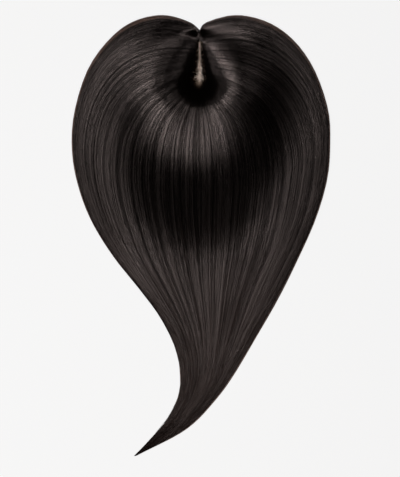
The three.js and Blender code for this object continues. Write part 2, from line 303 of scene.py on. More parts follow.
LOOPS_UP = (-1.2 * MM, 1.2 * MM, 3.4 * MM)
LOOP_LEAN = 0.36
LOOP_HALF, LOOP_SLANT = 1.5 * MM, 0.25 * MM
LOOP_CLEARANCE, LOOP_REACH = 0.12 * MM, 0.9 * MM
LOOP_STEPS, LOOP_SIDES = 7, 6
CLIP_GAP = 0.4 * MM
LACQUER_COLOURS = ((0.012, 0.009, 0.008, 1), (0.035, 0.025, 0.020, 1))
LACQUER_METALLIC = 0.5
LACQUER_ROUGHNESS = (0.25, 0.25)
LACQUER_CLOUD_SCALE = 350
BRUSH_SCALE = (300, 4000, 4000)
BRUSH_STRENGTH, BRUSH_DEPTH = 0.2, 0.02 * MM


def clip_frame(across, forward):
    """Where a clip lies inside the cap: its middle on the head's side, and its length, upslope and outward axes."""
    inner = dome_radius - BASE_WALL
    half_width = math.sqrt(inner**2 - (base_low.z - dome_centre_z) ** 2)
    x, y = across * half_width, forward * half_width * dome_stretch
    z = dome_centre_z + math.sqrt(inner**2 - x**2 - (y / dome_stretch) ** 2)
    outward = np.array([x, y / dome_stretch**2, z - dome_centre_z])
    outward /= np.linalg.norm(outward)
    level = np.array([-y, x, 0]) / math.hypot(x, y)
    upslope = np.cross(outward, level)
    hang = inner - math.sqrt(inner**2 - (CLIP_LENGTH**2 + CLIP_WIDTH**2) / 4)
    middle = np.array([base_middle.x + x, base_middle.y + y, z]) - (hang + CLIP_GAP + CLIP_DEPTH) * outward
    return middle, np.stack([level, upslope, outward])


def rounded_outline(half_foot, half_top, foot, top, radius):
    """A flat trapezium with rounded corners, anticlockwise."""
    corners = np.array([(half_foot, foot), (half_top, top), (-half_top, top), (-half_foot, foot)])
    share = np.linspace(0, 1, CORNER_STEPS)[:, None]
    outline = []
    for corner, before, after in zip(corners, np.roll(corners, 1, 0), np.roll(corners, -1, 0)):
        start = corner + (before - corner) * radius / np.linalg.norm(before - corner)
        end = corner + (after - corner) * radius / np.linalg.norm(after - corner)
        outline.append((1 - share) ** 2 * start + 2 * share * (1 - share) * corner + share**2 * end)
    return np.concatenate(outline)


def ring_mesh():
    """The stamped ring: a strip with rounded edges between an outer and an inner outline."""
    half, foot, top = CLIP_LENGTH / 2, TOOTH_DEPTH - CLIP_WIDTH / 2, CLIP_WIDTH / 2
    outer = rounded_outline(half, half - CLIP_TAPER, foot, top, RING_CORNER)
    half_foot, half_top = half - 1.3 * BAR_WIDTH, half - CLIP_TAPER - BAR_WIDTH
    inner = rounded_outline(half_foot, half_top, foot + 0.8 * BAR_WIDTH, top - 0.8 * BAR_WIDTH, HOLE_CORNER)
    rows = []
    for inward, up in RING_SECTION:
        place = outer + (inner - outer) * inward
        depth = np.full((len(place), 1), CLIP_DEPTH + (up - 1) * STEEL_THICKNESS)
        rows.append(np.hstack([place, depth]))
    faces = grid_faces(len(RING_SECTION) + 1, len(outer), closed=True) % (len(RING_SECTION) * len(outer))
    return np.concatenate(rows), faces[:, ::-1].tolist()


def tongue_mesh():
    """The tongue: a flat strip that bows from the ring's ends towards the head."""
    share = np.linspace(-1, 1, TONGUE_STEPS)[:, None]
    turn = 2 * math.pi * np.arange(TONGUE_SIDES)[None, :] / TONGUE_SIDES
    middle = TOOTH_DEPTH / 2
    width = TONGUE_WIDTH * (1 - TONGUE_WAIST * share**2)
    bow = CLIP_DEPTH - 1.25 * STEEL_THICKNESS - TONGUE_BOW * np.cos(math.pi / 2 * share)
    x = share * (CLIP_LENGTH / 2 - CLIP_TAPER / 2 - 0.4 * BAR_WIDTH) + 0 * turn
    y = middle + width / 2 * np.cos(turn)
    z = bow + 0.25 * STEEL_THICKNESS * np.sin(turn) * np.minimum(1, 4 - 4 * abs(share) + 0.3)
    return np.stack([x, y, z], -1), capped_grid(TONGUE_STEPS, TONGUE_SIDES)


def rivet_mesh(side):
    """A low domed rivet head on one end of the tongue, on the head's side."""
    sweep = np.linspace(RIVET_TOP, math.pi / 2, RIVET_ROWS)[:, None]
    turn = 2 * math.pi * np.arange(RIVET_SIDES)[None, :] / RIVET_SIDES
    x = side * (CLIP_LENGTH / 2 - CLIP_TAPER / 2 - 0.8 * BAR_WIDTH) + RIVET_RADIUS * np.sin(sweep) * np.cos(turn)
    y = TOOTH_DEPTH / 2 + RIVET_RADIUS * np.sin(sweep) * np.sin(turn)
    z = RIVET_FOOT - RIVET_RISE * np.cos(sweep) + 0 * turn
    faces = grid_faces(RIVET_ROWS, RIVET_SIDES, closed=True).tolist()
    last = (RIVET_ROWS - 1) * RIVET_SIDES
    faces += [list(range(RIVET_SIDES)), [last + i for i in range(RIVET_SIDES)][::-1]]
    return np.stack([x, y, z], -1), [face[::-1] for face in faces]


def comb_mesh():
    """The teeth, blunt pegs that leave the ring's longer edge and bend a little towards the head."""
    pitch = (CLIP_LENGTH - BAR_WIDTH) / CLIP_TEETH
    share = np.linspace(0, 1, TOOTH_STEPS)[None, :]
    x = (np.arange(CLIP_TEETH) - (CLIP_TEETH - 1) / 2)[:, None] * pitch + 0 * share
    y = TOOTH_DEPTH - CLIP_WIDTH / 2 + TOOTH_ROOT - TOOTH_LENGTH * share + 0 * x
    z = CLIP_DEPTH - STEEL_THICKNESS / 2 - TOOTH_BEND * share**2 + 0 * x
    radii = TOOTH_RADIUS * (1 - TOOTH_TAPER * share**2) + 0 * x
    return tubes(np.stack([x, y, z], -1), radii, TOOTH_SIDES)[:2]


def lashing_paths():
    """Loops of thread over the ring's two ends, from the cloth and back into it."""
    share = np.linspace(-1, 1, LOOP_STEPS)[None, :]
    loops = [(side, up) for side in (-1, 1) for up in LOOPS_UP]
    side = np.array([loop[0] for loop in loops])[:, None]
    up = np.array([loop[1] for loop in loops])[:, None]
    x = side * (CLIP_LENGTH / 2 - 0.62 * BAR_WIDTH - LOOP_LEAN * (up - TOOTH_DEPTH / 2)) + LOOP_HALF * share
    y = up + LOOP_SLANT * share
    under_ring = CLIP_DEPTH - STEEL_THICKNESS - LOOP_CLEARANCE
    z = under_ring + (STEEL_THICKNESS + LOOP_REACH) * abs(share) ** 3 + 0 * up
    return np.stack([x, y, z], -1)


def steel_material():
    """Brown lacquer on steel, rubbed to a satin finish, with fine brush marks."""
    material, tree, shader = new_material("clip_lacquer")
    place = add_node(tree, "ShaderNodeTexCoord").outputs["Object"]
    cloud = add_noise(tree, place, LACQUER_CLOUD_SCALE, 5)
    drawn = add_node(tree, "ShaderNodeMapping", _0=place, Scale=BRUSH_SCALE).outputs[0]
    marks = add_noise(tree, drawn, 1, 2)
    tree.links.new(mix_colours(tree, cloud, *LACQUER_COLOURS), shader.inputs["Base Color"])
    tree.links.new(calculate(tree, "MULTIPLY_ADD", marks, *LACQUER_ROUGHNESS), shader.inputs["Roughness"])
    add_bumps(tree, shader, marks, BRUSH_STRENGTH, BRUSH_DEPTH)
    shader.inputs["Metallic"].default_value = LACQUER_METALLIC
    return material


steel = steel_material()
lashing = []
for name, (across, forward) in CLIPS.items():
    middle, axes = clip_frame(across, forward)
    points, faces = join(ring_mesh(), tongue_mesh(), rivet_mesh(-1), rivet_mesh(1), comb_mesh())
    clip = make_piece(f"{name}_steel", middle + points @ axes, faces, steel, "clip_metal")
    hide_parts(name)
    lashing.append(middle + lashing_paths() @ axes)
lashing = np.concatenate(lashing)
points, faces, _ = tubes(lashing, np.full(lashing.shape[:2], THREAD_RADIUS), LOOP_SIDES)
make_piece("clip_lashing", points, faces, thread, "base_cloth")

# The hair grows from the parting and the crown behind it. Each hair passes the same stations as it falls, and at
# each station the hairs lie side by side in an arch, from the left outline back round the middle to the right.
# Below the single hairs lies the mass of the rest, one soft body in shallow locks, hollow over the base.
STATIONS = {
    "side": (0.463, 0.483, 0.499, 0.483, 0.442, 0.375, 0.284, 0.205, 0.126, 0.036, -0.055, -0.145, -0.236,
             -0.315, -0.371, -0.439, -0.498),
    "left": (-0.011, -0.043, -0.147, -0.264, -0.357, -0.438, -0.488, -0.5, -0.481, -0.426, -0.329, -0.202,
             -0.105, -0.0775, -0.089, -0.155, -0.26),
    "right": (-0.0084, 0.023, 0.136, 0.256, 0.357, 0.438, 0.492, 0.5, 0.488, 0.442, 0.372, 0.295, 0.205,
              0.124, 0.054, -0.062, -0.252),
    "fall": (0, 0.027, 0.065, 0.108, 0.162, 0.221, 0.286, 0.345, 0.407, 0.48, 0.555, 0.636, 0.722, 0.798,
             0.857, 0.933, 1),
    "middle": (-0.0097, -0.008, -0.008, -0.008, -0.008, -0.006, -0.004, -0.004, 0, 0.004, 0.012, 0.023,
               0.027, 0.012, -0.025, -0.112, -0.256),
    "bow": (0.052, 0.14, 0.256, 0.388, 0.457, 0.465, 0.434, 0.38, 0.326, 0.264, 0.178, 0.109, 0.066, 0.043,
            0.031, 0.019, 0.002),
    "lift": (0, 0.28, 0.7, 0.95, 1, 1, 1, 1, 1, 1, 1, 1, 1, 1, 1, 1, 1),
    "depth": (1, 1, 1, 1, 1, 1, 1, 1, 1, 1.02, 1.08, 1.15, 1.22, 1.2, 1.05, 0.7, 0.22),
}
PARTING_LENGTH = 49 * MM
FALL_DEPTH = 12 * MM
ROOT_DEPTH = 1.5 * MM
EDGE_DEPTH = 1.2 * MM
EDGE_WIDTH = 22 * MM
SIDE_RUN = 50 * MM
FRONT_RUN = 44 * MM
BACK_RUN = 77 * MM
MOUND_FLATNESS = 1.6
MOUND_POWER = 3.5
CROWN_LIFT = 0.6
CROWN_HALF, CROWN_FADE = 0.3, 0.2
EVENNESS, UNEVENNESS = 0.8, 0.2
LOCKS_BY = 0.12
NARROW_RELIEF = 0.3
BUNDLES_FROM, BUNDLES_OVER = 0.5, 0.35
BUNDLES_SUNK = 0.6
MASS_SINK = 0.9 * MM
MASS_START = 0.02
MASS_CROWDING = 1.1
MASS_RISE_OVER = 0.08
MASS_CLEARANCE = 0.6 * MM
MASS_LEAST = 0.4 * MM
TABLE_CLEARANCE = 0.2 * MM
MASS_ROWS = 170
MASS_COLUMNS = 130
LOCK_SIZES = ((110, 5, 0.14 * MM), (290, 8, 0.12 * MM), (330, 17, 0.05 * MM))
BUNDLE_SIZE = (9, 2, 1.5 * MM)
CHART_ROWS = 161
CHART_COLUMNS = 401

hair_low, hair_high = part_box("hair")
spread_width = hair_high.x - hair_low.x
laid_length = (hair_high.y - hair_low.y) / (max(STATIONS["side"]) - min(STATIONS["side"]))
notch_y = STATIONS["side"][0] * laid_length
crown_y = notch_y - PARTING_LENGTH
tip_y = STATIONS["side"][-1] * laid_length
mound_height = hair_high.z - FALL_DEPTH


def station(name, along):
    """A column of the table at places from 0, the roots, to 1, the tips, on a smooth curve."""
    values = np.array(STATIONS[name], float)
    ends = (2 * values[0] - values[1], 2 * values[-1] - values[-2])
    padded = np.concatenate([ends[:1], values, ends[1:]])
    place = np.asarray(along) * (len(values) - 1)
    row = np.clip(np.floor(place).astype(int), 0, len(values) - 2)
    share = place - row
    a, b, c, d = (padded[row + k] for k in range(4))
    bend = 2 * a - 5 * b + 4 * c - d
    swing = -a + 3 * b - 3 * c + d
    return 0.5 * (2 * b + (c - a) * share + bend * share**2 + swing * share**3)


def flow(across, along):
    """The place over the table of hair number across, from 0 to 1, at a share along its length."""
    side = station("side", along) * laid_length
    back = crown_y + station("fall", along) * (tip_y - crown_y)
    left, right, middle, bow = (station(n, along) * spread_width for n in ("left", "right", "middle", "bow"))
    # The arch is a cubic curve, and its two handles are set so that its middle passes middle and back.
    handle_y = side - (side - back) / 0.75
    handle_x = (8 * middle - left - right) / 6
    rest = 1 - across
    x = rest**3 * left + 3 * rest**2 * across * (handle_x - bow)
    x += 3 * rest * across**2 * (handle_x + bow) + across**3 * right
    y = (rest**3 + across**3) * side + 3 * rest * across * handle_y
    return x, y


def smooth(share):
    """A share from 0 to 1, eased at both ends."""
    share = np.clip(share, 0, 1)
    return share * share * (3 - 2 * share)


def look_up(table, across, along):
    """Values between those of an even grid of rows along the hair and columns across it."""
    i = np.clip(along, 0, 1) * (table.shape[0] - 1)
    j = np.clip(across, 0, 1) * (table.shape[1] - 1)
    row = np.minimum(i.astype(int), table.shape[0] - 2)
    column = np.minimum(j.astype(int), table.shape[1] - 2)
    di, dj = i - row, j - column
    upper = table[row, column] * (1 - dj) + table[row, column + 1] * dj
    lower = table[row + 1, column] * (1 - dj) + table[row + 1, column + 1] * dj
    return upper * (1 - di) + lower * di


# Lengths along each arch say how far in from the outline a hair lies and how the hairs share the width.
chart_along = np.linspace(0, 1, CHART_ROWS)[:, None]
chart_across = np.linspace(0, 1, CHART_COLUMNS)[None, :]
chart_x, chart_y = flow(chart_across, chart_along)
chart_steps = np.hypot(np.diff(chart_x, axis=1), np.diff(chart_y, axis=1))
chart_length = np.concatenate([np.zeros((CHART_ROWS, 1)), np.cumsum(chart_steps, axis=1)], axis=1)
chart_width = chart_length[:, -1:] + 1e-9
chart_inset = np.minimum(chart_length, chart_width - chart_length)
wide_rows = slice(CHART_ROWS // 5, 3 * CHART_ROWS // 4)
even_share = (chart_length / chart_width)[wide_rows].mean(0)


def spaced(share):
    """The hair number at a share of the hairs, counted so that they lie about evenly side by side."""
    return np.interp(share, EVENNESS * even_share + UNEVENNESS * chart_across[0], chart_across[0])


def ripple(share, along, cells_across, cells_along, seed):
    """Smooth random waves from -1 to 1, drawn out along the hair."""
    lattice = np.random.default_rng(seed).uniform(-1, 1, (cells_across + 2, cells_along + 2))
    a = np.clip(share, 0, 1) * cells_across
    b = np.clip(along, 0, 1) * cells_along
    i, j = a.astype(int), b.astype(int)
    da, db = smooth(a - i), smooth(b - j)
    near = lattice[i, j] * (1 - da) + lattice[i + 1, j] * da
    far = lattice[i, j + 1] * (1 - da) + lattice[i + 1, j + 1] * da
    return near * (1 - db) + far * db


def relief(share, along):
    """How far the locks and, towards the tip, the bundles stand out of the smooth form."""
    narrow = np.minimum(1, NARROW_RELIEF + look_up(chart_width, 0 * share, along) / spread_width)
    formed = smooth(along / LOCKS_BY) * narrow
    locks = sum(
        depth * ripple(share, along, cells, rows, seed)
        for seed, (cells, rows, depth) in enumerate(LOCK_SIZES)
    )
    cells, rows, depth = BUNDLE_SIZE
    bundles = depth * smooth((along - BUNDLES_FROM) / BUNDLES_OVER)
    return formed * locks + bundles * (ripple(share, along, cells, rows, 9) - BUNDLES_SUNK)


def hair_height(x, y, across, along):
    """The height of the hair's smooth upper face: on the base at the roots, over the mound, down to the outline."""
    run = np.where(y > base_middle.y, FRONT_RUN, BACK_RUN)
    half_width = dome_foot + SIDE_RUN
    half_length = dome_foot * dome_stretch + run
    outward = ((x - base_middle.x) / half_width) ** 2 + ((y - base_middle.y) / half_length) ** 2
    mound = mound_height * np.maximum(0, 1 - outward**MOUND_FLATNESS) ** MOUND_POWER
    on_base = dome_height(x, y) + ROOT_DEPTH
    at_crown = smooth((CROWN_HALF - abs(across - 0.5)) / CROWN_FADE)
    lift = station("lift", np.minimum(1, along * (1 + CROWN_LIFT * at_crown)))
    full = np.maximum(on_base, station("depth", along) * FALL_DEPTH + mound)
    width = look_up(chart_width, 0 * across, along)
    inset = look_up(chart_inset, across, along) / np.minimum(EDGE_WIDTH, width / 2)
    edge = np.sin(math.pi / 2 * np.clip(inset, 0, 1))
    rounded = EDGE_DEPTH + (full - EDGE_DEPTH) * edge
    return on_base + (rounded - on_base) * lift, edge


def hair_points(share, along, sink=0.0):
    """Places on the hair, that far below its upper face."""
    across = spaced(share)
    x, y = flow(across, along)
    height, edge = hair_height(x, y, across, along)
    z = height + edge * relief(share, along) - sink
    return np.stack(np.broadcast_arrays(x, y, z), -1)


HAIR_DARK = (0.0010, 0.0007, 0.0006, 1)
HAIR_LIGHT = (0.030, 0.015, 0.011, 1)
HAIR_GLOSS_TINT = (1.0, 0.83, 0.79, 1)
GLOSSY_ROUGHNESS = 0.2
DULLER_PARTS = ((0.14, 0.34, 0.08), (0.46, 0.6, 0.14), (0.62, 0.9, 0.15))
DULLER_SIDES = (56 * MM, 88 * MM, 0.18)
# The brown towards the tips is partly lighter worn ends and partly a painted brown sheen.
WORN_AND_SHEEN_FROM, WORN_AND_SHEEN_TO = 0.56, 1.04
WORN_AND_SHEEN_TONE, LEAST_BROWN_TONE = 0.9, 0.015
TONE_DULLNESS, LEAST_DULLNESS = 0.36, 0.82
MASS_STREAKS = 900
MASS_GLOSS = 0.3
HAIR_IOR = 1.55


def own_tone(tree, column, hairs):
    """A value between 0 and 1 for each hair, by its column on the map."""
    number = calculate(tree, "FLOOR", calculate(tree, "MULTIPLY", column, hairs))
    return add_node(tree, "ShaderNodeTexWhiteNoise", {"noise_dimensions": "1D"}, W=number).outputs["Value"]


def eased(tree, value, start, end):
    """0 up to the start of a range of the value, 1 from its end, eased between them."""
    ranges = {"interpolation_type": "SMOOTHSTEP"}
    return add_node(tree, "ShaderNodeMapRange", ranges, _0=value, _1=start, _2=end).outputs[0]


def hair_material(name, hairs, streaks, gloss):
    """Hair of many tones: near black and glossy by the roots, browner towards the tips, where the brown is partly
    lighter worn ends and partly a painted brown sheen, and duller towards the tips and at the outer sides, as if
    worn. Each of the hairs has a tone of its own or, if streaks are given, so many of them lie across a mass. gloss
    is the specular level."""
    material, tree, shader = new_material(name)
    place = add_node(tree, "ShaderNodeUVMap", {"uv_map": "OFBake"}).outputs["UV"]
    split = add_node(tree, "ShaderNodeSeparateXYZ", _0=place)
    if streaks:
        drawn = add_node(tree, "ShaderNodeMapping", _0=place, Scale=(streaks, 3, 1)).outputs[0]
        tone = add_noise(tree, drawn, 1, 5)
    else:
        tone = own_tone(tree, split.outputs["X"], hairs)
    # Browner towards the tips: partly worn ends, partly a painted brown sheen.
    worn_ends_and_sheen = eased(tree, split.outputs["Y"], WORN_AND_SHEEN_FROM, WORN_AND_SHEEN_TO)
    share = calculate(tree, "MULTIPLY", tone, calculate(tree, "MULTIPLY_ADD", worn_ends_and_sheen, WORN_AND_SHEEN_TONE, LEAST_BROWN_TONE))
    over_table = add_node(tree, "ShaderNodeTexCoord").outputs["Object"]
    aside = calculate(tree, "ABSOLUTE", add_node(tree, "ShaderNodeSeparateXYZ", _0=over_table).outputs["X"])
    duller = [(split.outputs["Y"], *part) for part in DULLER_PARTS]
    duller.append((aside, *DULLER_SIDES))
    wear = GLOSSY_ROUGHNESS
    for where, start, end, added in duller:
        wear = calculate(tree, "MULTIPLY_ADD", eased(tree, where, start, end), added, wear)
    dullness = calculate(tree, "MULTIPLY_ADD", tone, TONE_DULLNESS, LEAST_DULLNESS)
    roughness = calculate(tree, "MULTIPLY", wear, dullness)
    tree.links.new(mix_colours(tree, share, HAIR_DARK, HAIR_LIGHT), shader.inputs["Base Color"])
    tree.links.new(roughness, shader.inputs["Roughness"])
    shader.inputs["IOR"].default_value = HAIR_IOR
    shader.inputs["Specular IOR Level"].default_value = gloss
    shader.inputs["Specular Tint"].default_value = HAIR_GLOSS_TINT
    return material


def mass_mesh():
    """The mass as a closed mesh: its upper face, its underside over the base and the table, and its border."""
    share = np.linspace(0, 1, MASS_COLUMNS)[None, :]
    along = MASS_START + (1 - MASS_START) * np.linspace(0, 1, MASS_ROWS)[:, None] ** MASS_CROWDING
    upper = hair_points(share, along, MASS_SINK + ROOT_DEPTH * (1 - smooth(along / MASS_RISE_OVER)))
    lower = upper.copy()
    under_base = dome_height(lower[..., 0], lower[..., 1])
    lower[..., 2] = np.maximum(TABLE_CLEARANCE, under_base + MASS_CLEARANCE)
    upper[..., 2] = np.maximum(upper[..., 2], lower[..., 2] + MASS_LEAST)
    index = np.arange(MASS_ROWS * MASS_COLUMNS).reshape(MASS_ROWS, MASS_COLUMNS)
    above = grid_faces(MASS_ROWS, MASS_COLUMNS)
    below = above[:, ::-1] + index.size
    border = np.concatenate([index[:-1, 0], index[-1, :-1], index[:0:-1, -1], index[0, :0:-1]])
    after = np.roll(border, -1)
    walls = np.stack([after, border, border + index.size, after + index.size], -1)
    faces = np.concatenate([above, below, walls])
    on_map = np.stack(np.broadcast_arrays(share, along), -1).reshape(-1, 2)
    return np.concatenate([upper, lower]), faces, np.concatenate([on_map, on_map])[faces]


points, faces, uv = mass_mesh()
mass_hair = hair_material("mass_hair", 1, MASS_STREAKS, MASS_GLOSS)
mass = make_piece("hair_mass", points, faces, mass_hair, "dark_hair", uv)
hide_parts("hair")

# The hairs that show are laid over the mass, each one as it was combed. It rises from its knot beside the parting,
# follows the flow with a little wander of its own, is drawn towards its lock, and runs out to a point. Hairs that
# lie together share their gloss, so that fine bright and dark streaks run through the whole.
HAIRS_IN_LAYER = 1250
LAYER_GLOSS = (0.22, 0.44, 0.69, 0.96)
HAIR_STEPS = 26
HAIR_SIDES = 3
HAIR_RADIUS = 0.27 * MM
HAIR_LOCKS = 280
HAIR_SINK = (0.0, 0.8 * MM)
HAIR_WAVE = 0.3 * MM
HAIR_START = (-0.004, 0.008)
SHORTER_SHARE = 0.45
SHORTER_BY, SHORTER_POWER = 0.3, 1.3
UNEVEN_TIPS = 0.02
STEP_SHIFT = 0.3
STEP_EVEN, STEP_CROWDED = 0.45, 0.55
LOCK_PULL = (0.1, 0.5)
WANDER = 0.004
WANDER_CELLS = (400, 5)
BEND_OVER = (0.02, 0.07)
KNOT_RISE = 0.1 * MM
OVER_TABLE = 0.5 * MM
ROOT_TAPER, ROOT_END = 9, 0.25
TIP_TAPER, TIP_END = 5, 0.12
THICKNESS_RANGE = (0.7, 1.2)
STREAKS = 420
STREAK_MIXING = 0.6
PARTING_X = -1.1 * MM
GAP_AHEAD = np.array((0, 0.5, 2, 4.5, 8, 12, 16, 22, 36, 40, 49)) * MM
GAP_HALF = np.array((0, 0.9, 2.6, 3.8, 3.7, 2.3, 1.2, 0.75, 0.35, 0, 0)) * MM
RAGGED_PLACES = np.arange(-200, 200, 0.7) * MM
RAGGED_WIDTHS = np.random.default_rng(3).uniform(0.35, 1.45, len(RAGGED_PLACES))
KNOT_SPREAD = 1.3 * MM
SPREAD_AHEAD = np.array((0, 3, 36, 41)) * MM
SPREAD_SHARE = (0, 1, 1, 0.15)
CROSSING_AHEAD = np.array((37, 43)) * MM
CROSSING = (0, 0.9 * MM)
PATCH_LENGTH = 13 * MM
PATCH_HAIRS = 0.05


def gap_beside(x, y):
    """Half the width of the parting beside a place, with the ragged edge that the knots give it."""
    ragged = np.interp(y * np.where(x < PARTING_X, -1, 1), RAGGED_PLACES, RAGGED_WIDTHS)
    return np.interp(y - crown_y, GAP_AHEAD, GAP_HALF) * ragged


def root_offset(root, side, random):
    """The way to each hair's knot from where its fall starts. The knots stand close on both sides of the parting,
    which ends in a wider patch at the crown, and are few inside it. At its front they cross it over the binding."""
    ahead = root[:, 1] - crown_y
    gap = gap_beside(root[:, 0], root[:, 1])
    spread = KNOT_SPREAD * np.interp(ahead, SPREAD_AHEAD, SPREAD_SHARE)
    beside = gap + spread * random.exponential(1, len(root))
    inside = (random.random(len(root)) < PATCH_HAIRS) & (ahead < PATCH_LENGTH)
    aside = np.where(inside, gap * random.random(len(root)), beside)
    crossing = np.interp(ahead, CROSSING_AHEAD, CROSSING)
    aside -= crossing * random.random(len(root))
    knot_x = PARTING_X + side * aside
    knot_z = dome_height(knot_x, root[:, 1]) + KNOT_RISE + crossing
    return np.stack([knot_x, root[:, 1], knot_z], -1) - root


def combed_hairs(count, seed):
    """Paths and radii of hairs over the whole topper, those of the least gloss first."""
    random = np.random.default_rng(seed)
    own = ((np.arange(count) + random.random(count)) / count)[:, None]
    lock = (np.floor(own * HAIR_LOCKS) + 0.5) / HAIR_LOCKS
    start = random.uniform(*HAIR_START, (count, 1))
    layered = random.random((count, 1)) < SHORTER_SHARE
    shorter_by = random.uniform(0, SHORTER_BY, (count, 1)) ** SHORTER_POWER
    end = 1 - np.where(layered, shorter_by, UNEVEN_TIPS * random.random((count, 1)))
    step = np.linspace(0, 1, HAIR_STEPS)[None, :] + random.uniform(-STEP_SHIFT, STEP_SHIFT, (count, 1)) / HAIR_STEPS
    step[:, 0], step[:, -1] = 0, 1
    along = start + (end - start) * (STEP_EVEN * step + STEP_CROWDED * step**2)
    pull = LOCK_PULL[0] + LOCK_PULL[1] * smooth(along)
    wander = WANDER * ripple(own + 0 * along, along, *WANDER_CELLS, seed + 50)
    share = own + (lock - own) * pull + wander * smooth(along * 3)
    share = np.where(share < 0, -share, np.where(share > 1, 2 - share, share))
    sink = random.uniform(*HAIR_SINK, (count, 1)) + HAIR_WAVE * ripple(own + 0 * along, along, count, 9, seed + 70)
    paths = hair_points(share, along, sink * smooth(along * 8))
    bend = random.uniform(*BEND_OVER, (count, 1))
    side = np.where(share[:, 0] < 0.5, -1, 1)
    paths += root_offset(paths[:, 0], side, random)[:, None] * (1 - smooth(along / bend))[..., None]
    paths[..., 2] = np.maximum(paths[..., 2], OVER_TABLE)
    taper = np.minimum(1, np.minimum(step * ROOT_TAPER + ROOT_END, (1 - step) * TIP_TAPER + TIP_END))
    radii = HAIR_RADIUS * taper * random.uniform(*THICKNESS_RANGE, (count, 1))
    streak = ripple(own[:, 0], 0 * own[:, 0], STREAKS, 1, seed + 90)
    order = np.argsort(streak + random.uniform(-STREAK_MIXING, STREAK_MIXING, count))
    return paths[order], radii[order]


all_hairs = len(LAYER_GLOSS) * HAIRS_IN_LAYER
paths, radii = combed_hairs(all_hairs, 1)
for layer, gloss in enumerate(LAYER_GLOSS):
    group = slice(layer * HAIRS_IN_LAYER, (layer + 1) * HAIRS_IN_LAYER)
    points, faces, uv = tubes(paths[group], radii[group], HAIR_SIDES, group.start, all_hairs)
    combed = hair_material(f"combed_hair_{layer + 1}", all_hairs, 0, gloss)
    make_piece(f"combed_hair_{layer + 1}", points, faces, combed, "dark_hair", uv)

# Each hair is tied into the cloth with a single knot. The knots pepper the cloth beside the parting, more thinly at
# its back end, where the cloth shows through between them. Short new hairs stand among them and catch the light.
KNOTS = 400
KNOTS_START, KNOTS_OVER, KNOTS_CROWDING = 0.5 * MM, 0.8, 1.8
KNOT_RADIUS = 0.16 * MM
KNOT_LEAN = 0.3
KNOT_SIDES = 5
NEW_HAIRS = 340
NEW_HAIR_RADIUS = 0.1 * MM
NEW_HAIR_LENGTH = 5 * MM
NEW_HAIR_STEPS = 6
NEW_HAIR_LEAN, NEW_HAIR_BEND = 0.55, 1.4
NEW_HAIR_TAPER = 0.6
KNOT_COLOURS = ((0.04, 0.024, 0.016, 1), (0.42, 0.27, 0.18, 1))
NEW_HAIR_COLOURS = ((0.1, 0.06, 0.04, 1), (0.85, 0.62, 0.46, 1))
FINE_ROUGHNESS = 0.4


def fine_hair_material(name, hairs, colours):
    """Single hairs seen against the light, each of a tone of its own between two colours."""
    material, tree, shader = new_material(name)
    place = add_node(tree, "ShaderNodeUVMap", {"uv_map": "OFBake"}).outputs["UV"]
    split = add_node(tree, "ShaderNodeSeparateXYZ", _0=place)
    tone = own_tone(tree, split.outputs["X"], hairs)
    tree.links.new(mix_colours(tree, tone, *colours), shader.inputs["Base Color"])
    shader.inputs["Roughness"].default_value = FINE_ROUGHNESS
    return material


def beside_parting(count, least, beyond, random):
    """Places on the cloth along the parting. More of them lie towards its back end, which is far wider."""
    ahead = random.random(count) ** KNOTS_CROWDING * KNOTS_OVER * PARTING_LENGTH - KNOTS_START
    half = np.maximum(least, np.interp(ahead, GAP_AHEAD, GAP_HALF))
    aside = half * random.random(count) + (least + beyond * half) * random.random(count) ** 2
    x = PARTING_X + random.choice((-1, 1), count) * aside
    y = crown_y + ahead
    return np.stack([x, y, dome_height(x, y)], -1)


random = np.random.default_rng(8)
knots = beside_parting(KNOTS, 0.6 * MM, 0.4, random)
turn = random.uniform(0, 2 * math.pi, KNOTS)
lean = np.stack([np.cos(turn), np.sin(turn), KNOT_LEAN + 0 * turn], -1) * KNOT_RADIUS
paths = knots[:, None] + np.array([-1, 0, 1])[None, :, None] * lean[:, None]
radii = KNOT_RADIUS * np.array([[0.5, 1, 0.5]]) * random.uniform(0.5, 1.1, (KNOTS, 1))
points, faces, uv = tubes(paths, radii, KNOT_SIDES, 0, KNOTS)
make_piece("knots", points, faces, fine_hair_material("knot_hair", KNOTS, KNOT_COLOURS), "dark_hair", uv)

roots = beside_parting(NEW_HAIRS, 0.5 * MM, 0.9, random)
turn = random.uniform(0, 2 * math.pi, (NEW_HAIRS, 1))
length = NEW_HAIR_LENGTH * random.uniform(0.5, 1, (NEW_HAIRS, 1))
step = np.linspace(0, 1, NEW_HAIR_STEPS)[None, :]
aside = NEW_HAIR_LEAN * step**1.5 * length
rise = length * np.sin(NEW_HAIR_BEND * step)
paths = roots[:, None] + np.stack([aside * np.cos(turn), aside * np.sin(turn), rise], -1)
radii = NEW_HAIR_RADIUS * (1 - NEW_HAIR_TAPER * step) * random.uniform(*THICKNESS_RANGE, (NEW_HAIRS, 1))
points, faces, uv = tubes(paths, radii, HAIR_SIDES, 0, NEW_HAIRS)
new_hair = fine_hair_material("new_hair", NEW_HAIRS, NEW_HAIR_COLOURS)
make_piece("new_hairs", points, faces, new_hair, "dark_hair", uv)

# A few hairs have slipped loose from the combed ones and stray from the outline. They are the same hair, but as they
# lie singly over the pale table, light passes through them and they look thinner and a lighter red-brown.
STRAYS = 260
STRAY_STEPS = 22
STRAY_RADIUS = 0.18 * MM
STRAY_REACH = 1.1 * MM
STRAY_LIFT = 0.1 * MM
STRAY_FROM, STRAY_LENGTH = (0.03, 0.8), (0.12, 0.45)
STRAY_INSET, LEAST_INSET = 0.012, 0.0005
STRAY_THICKNESS = (0.6, 1.1)
STRAY_COLOURS = ((0.05, 0.025, 0.018, 1), (0.26, 0.155, 0.12, 1))


